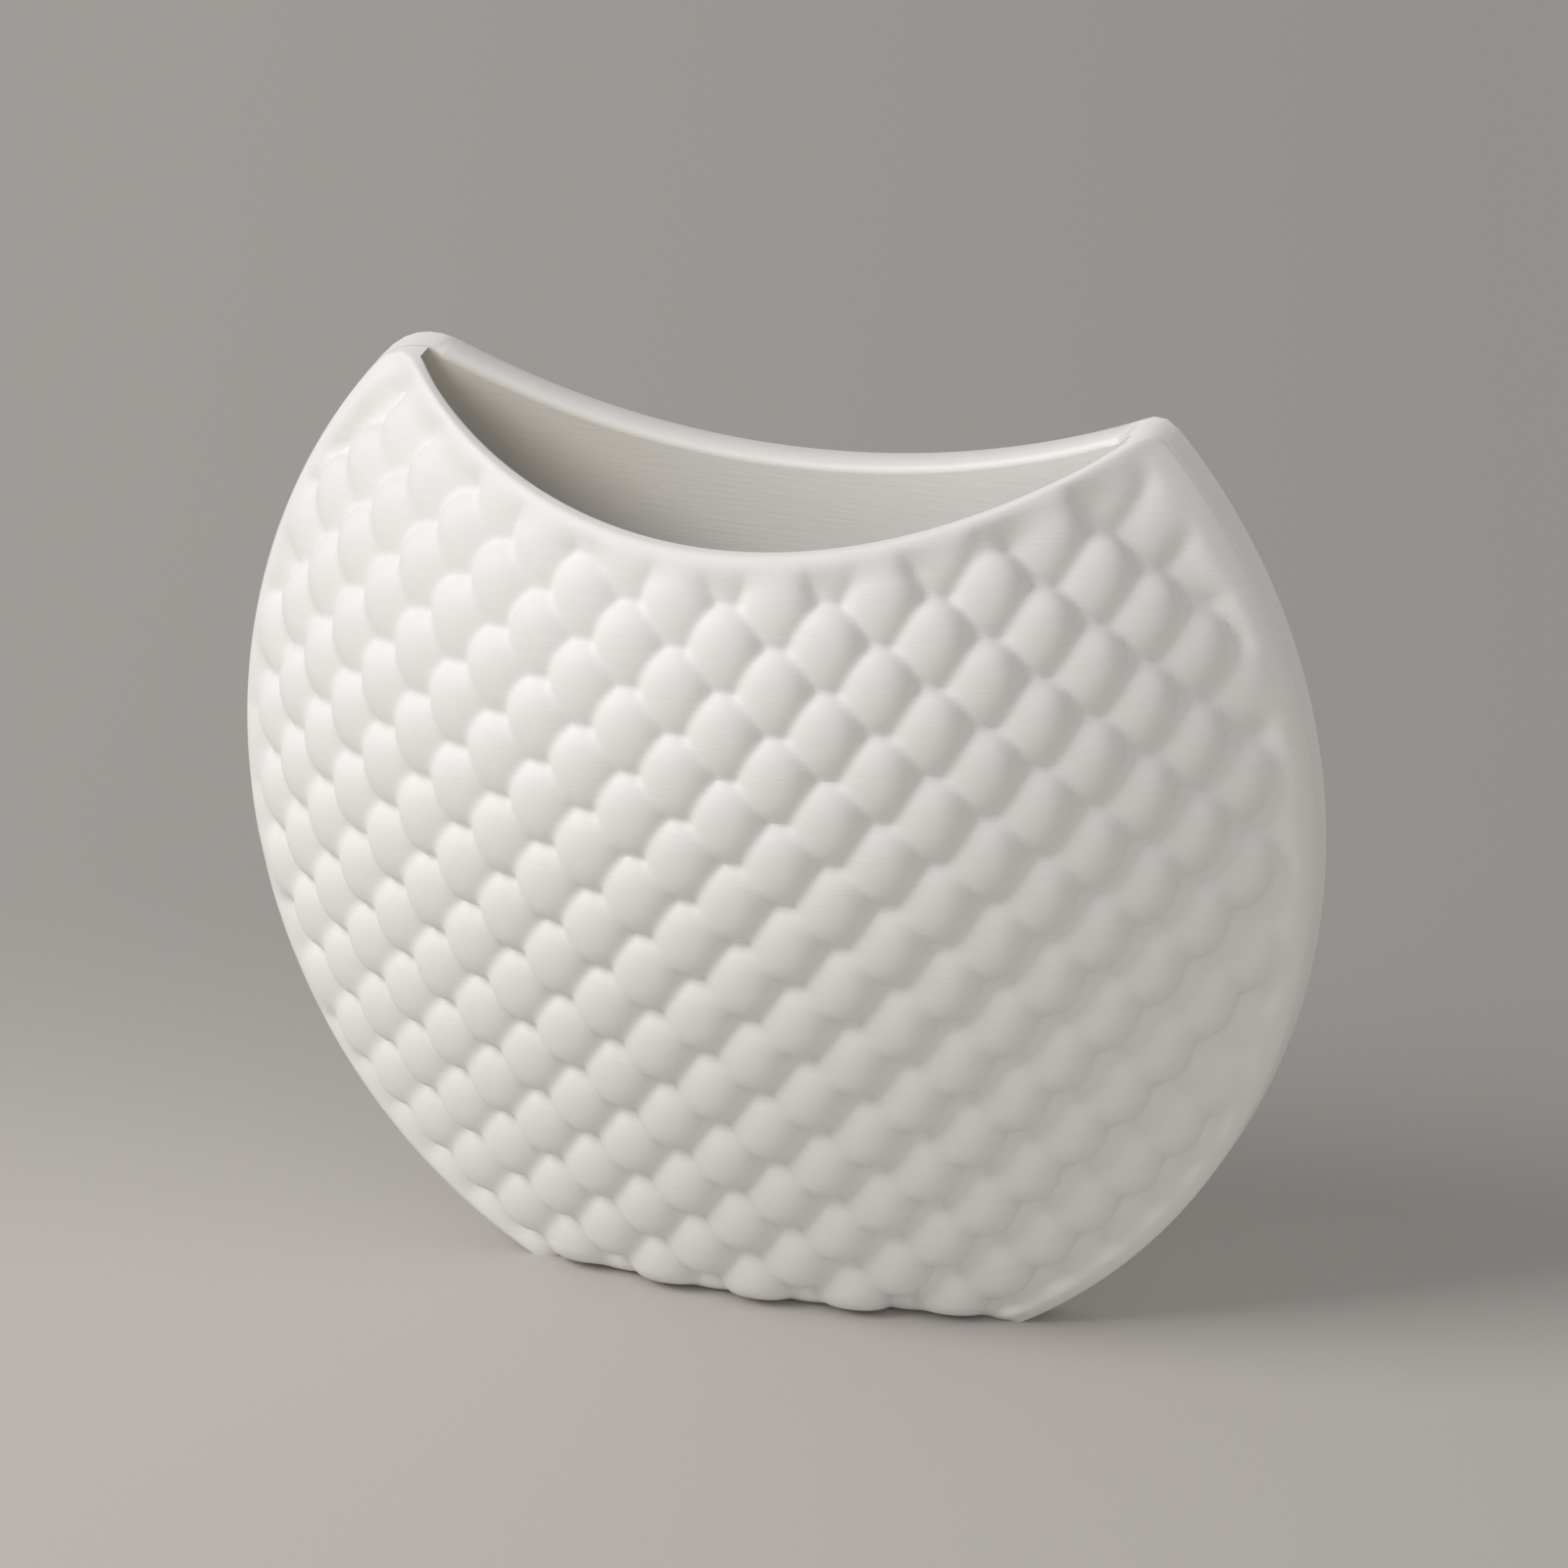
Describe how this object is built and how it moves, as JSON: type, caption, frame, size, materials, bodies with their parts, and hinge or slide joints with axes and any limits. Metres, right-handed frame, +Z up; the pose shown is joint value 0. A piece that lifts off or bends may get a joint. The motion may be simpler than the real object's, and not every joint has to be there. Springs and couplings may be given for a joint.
{
  "type": "wall vase",
  "caption": "White matte wall vase with a flat back, a bulged front covered in small staggered domes and a scooped oval mouth.",
  "frame": {"origin": "middle of the round outline, on the wall side of the back panel", "axes": "+X along the wall, to the right seen from the room; +Y into the wall; +Z up"},
  "size_m": [0.16, 0.0487, 0.1412],
  "materials": {
    "body": "matte white, with faint lines of fine layers",
    "hardware": "zinc plated",
    "bumper": "soft, pale grey"
  },
  "bodies": {
    "root": {"front_shell": "body", "back_panel": "body", "keyhole_hanger_left": "hardware", "keyhole_hanger_right": "hardware", "hanger_screw_left_top": "hardware", "hanger_screw_left_bottom": "hardware", "hanger_screw_right_top": "hardware", "hanger_screw_right_bottom": "hardware", "wall_bumper_left": "bumper", "wall_bumper_right": "bumper"}
  },
  "joints": []
}
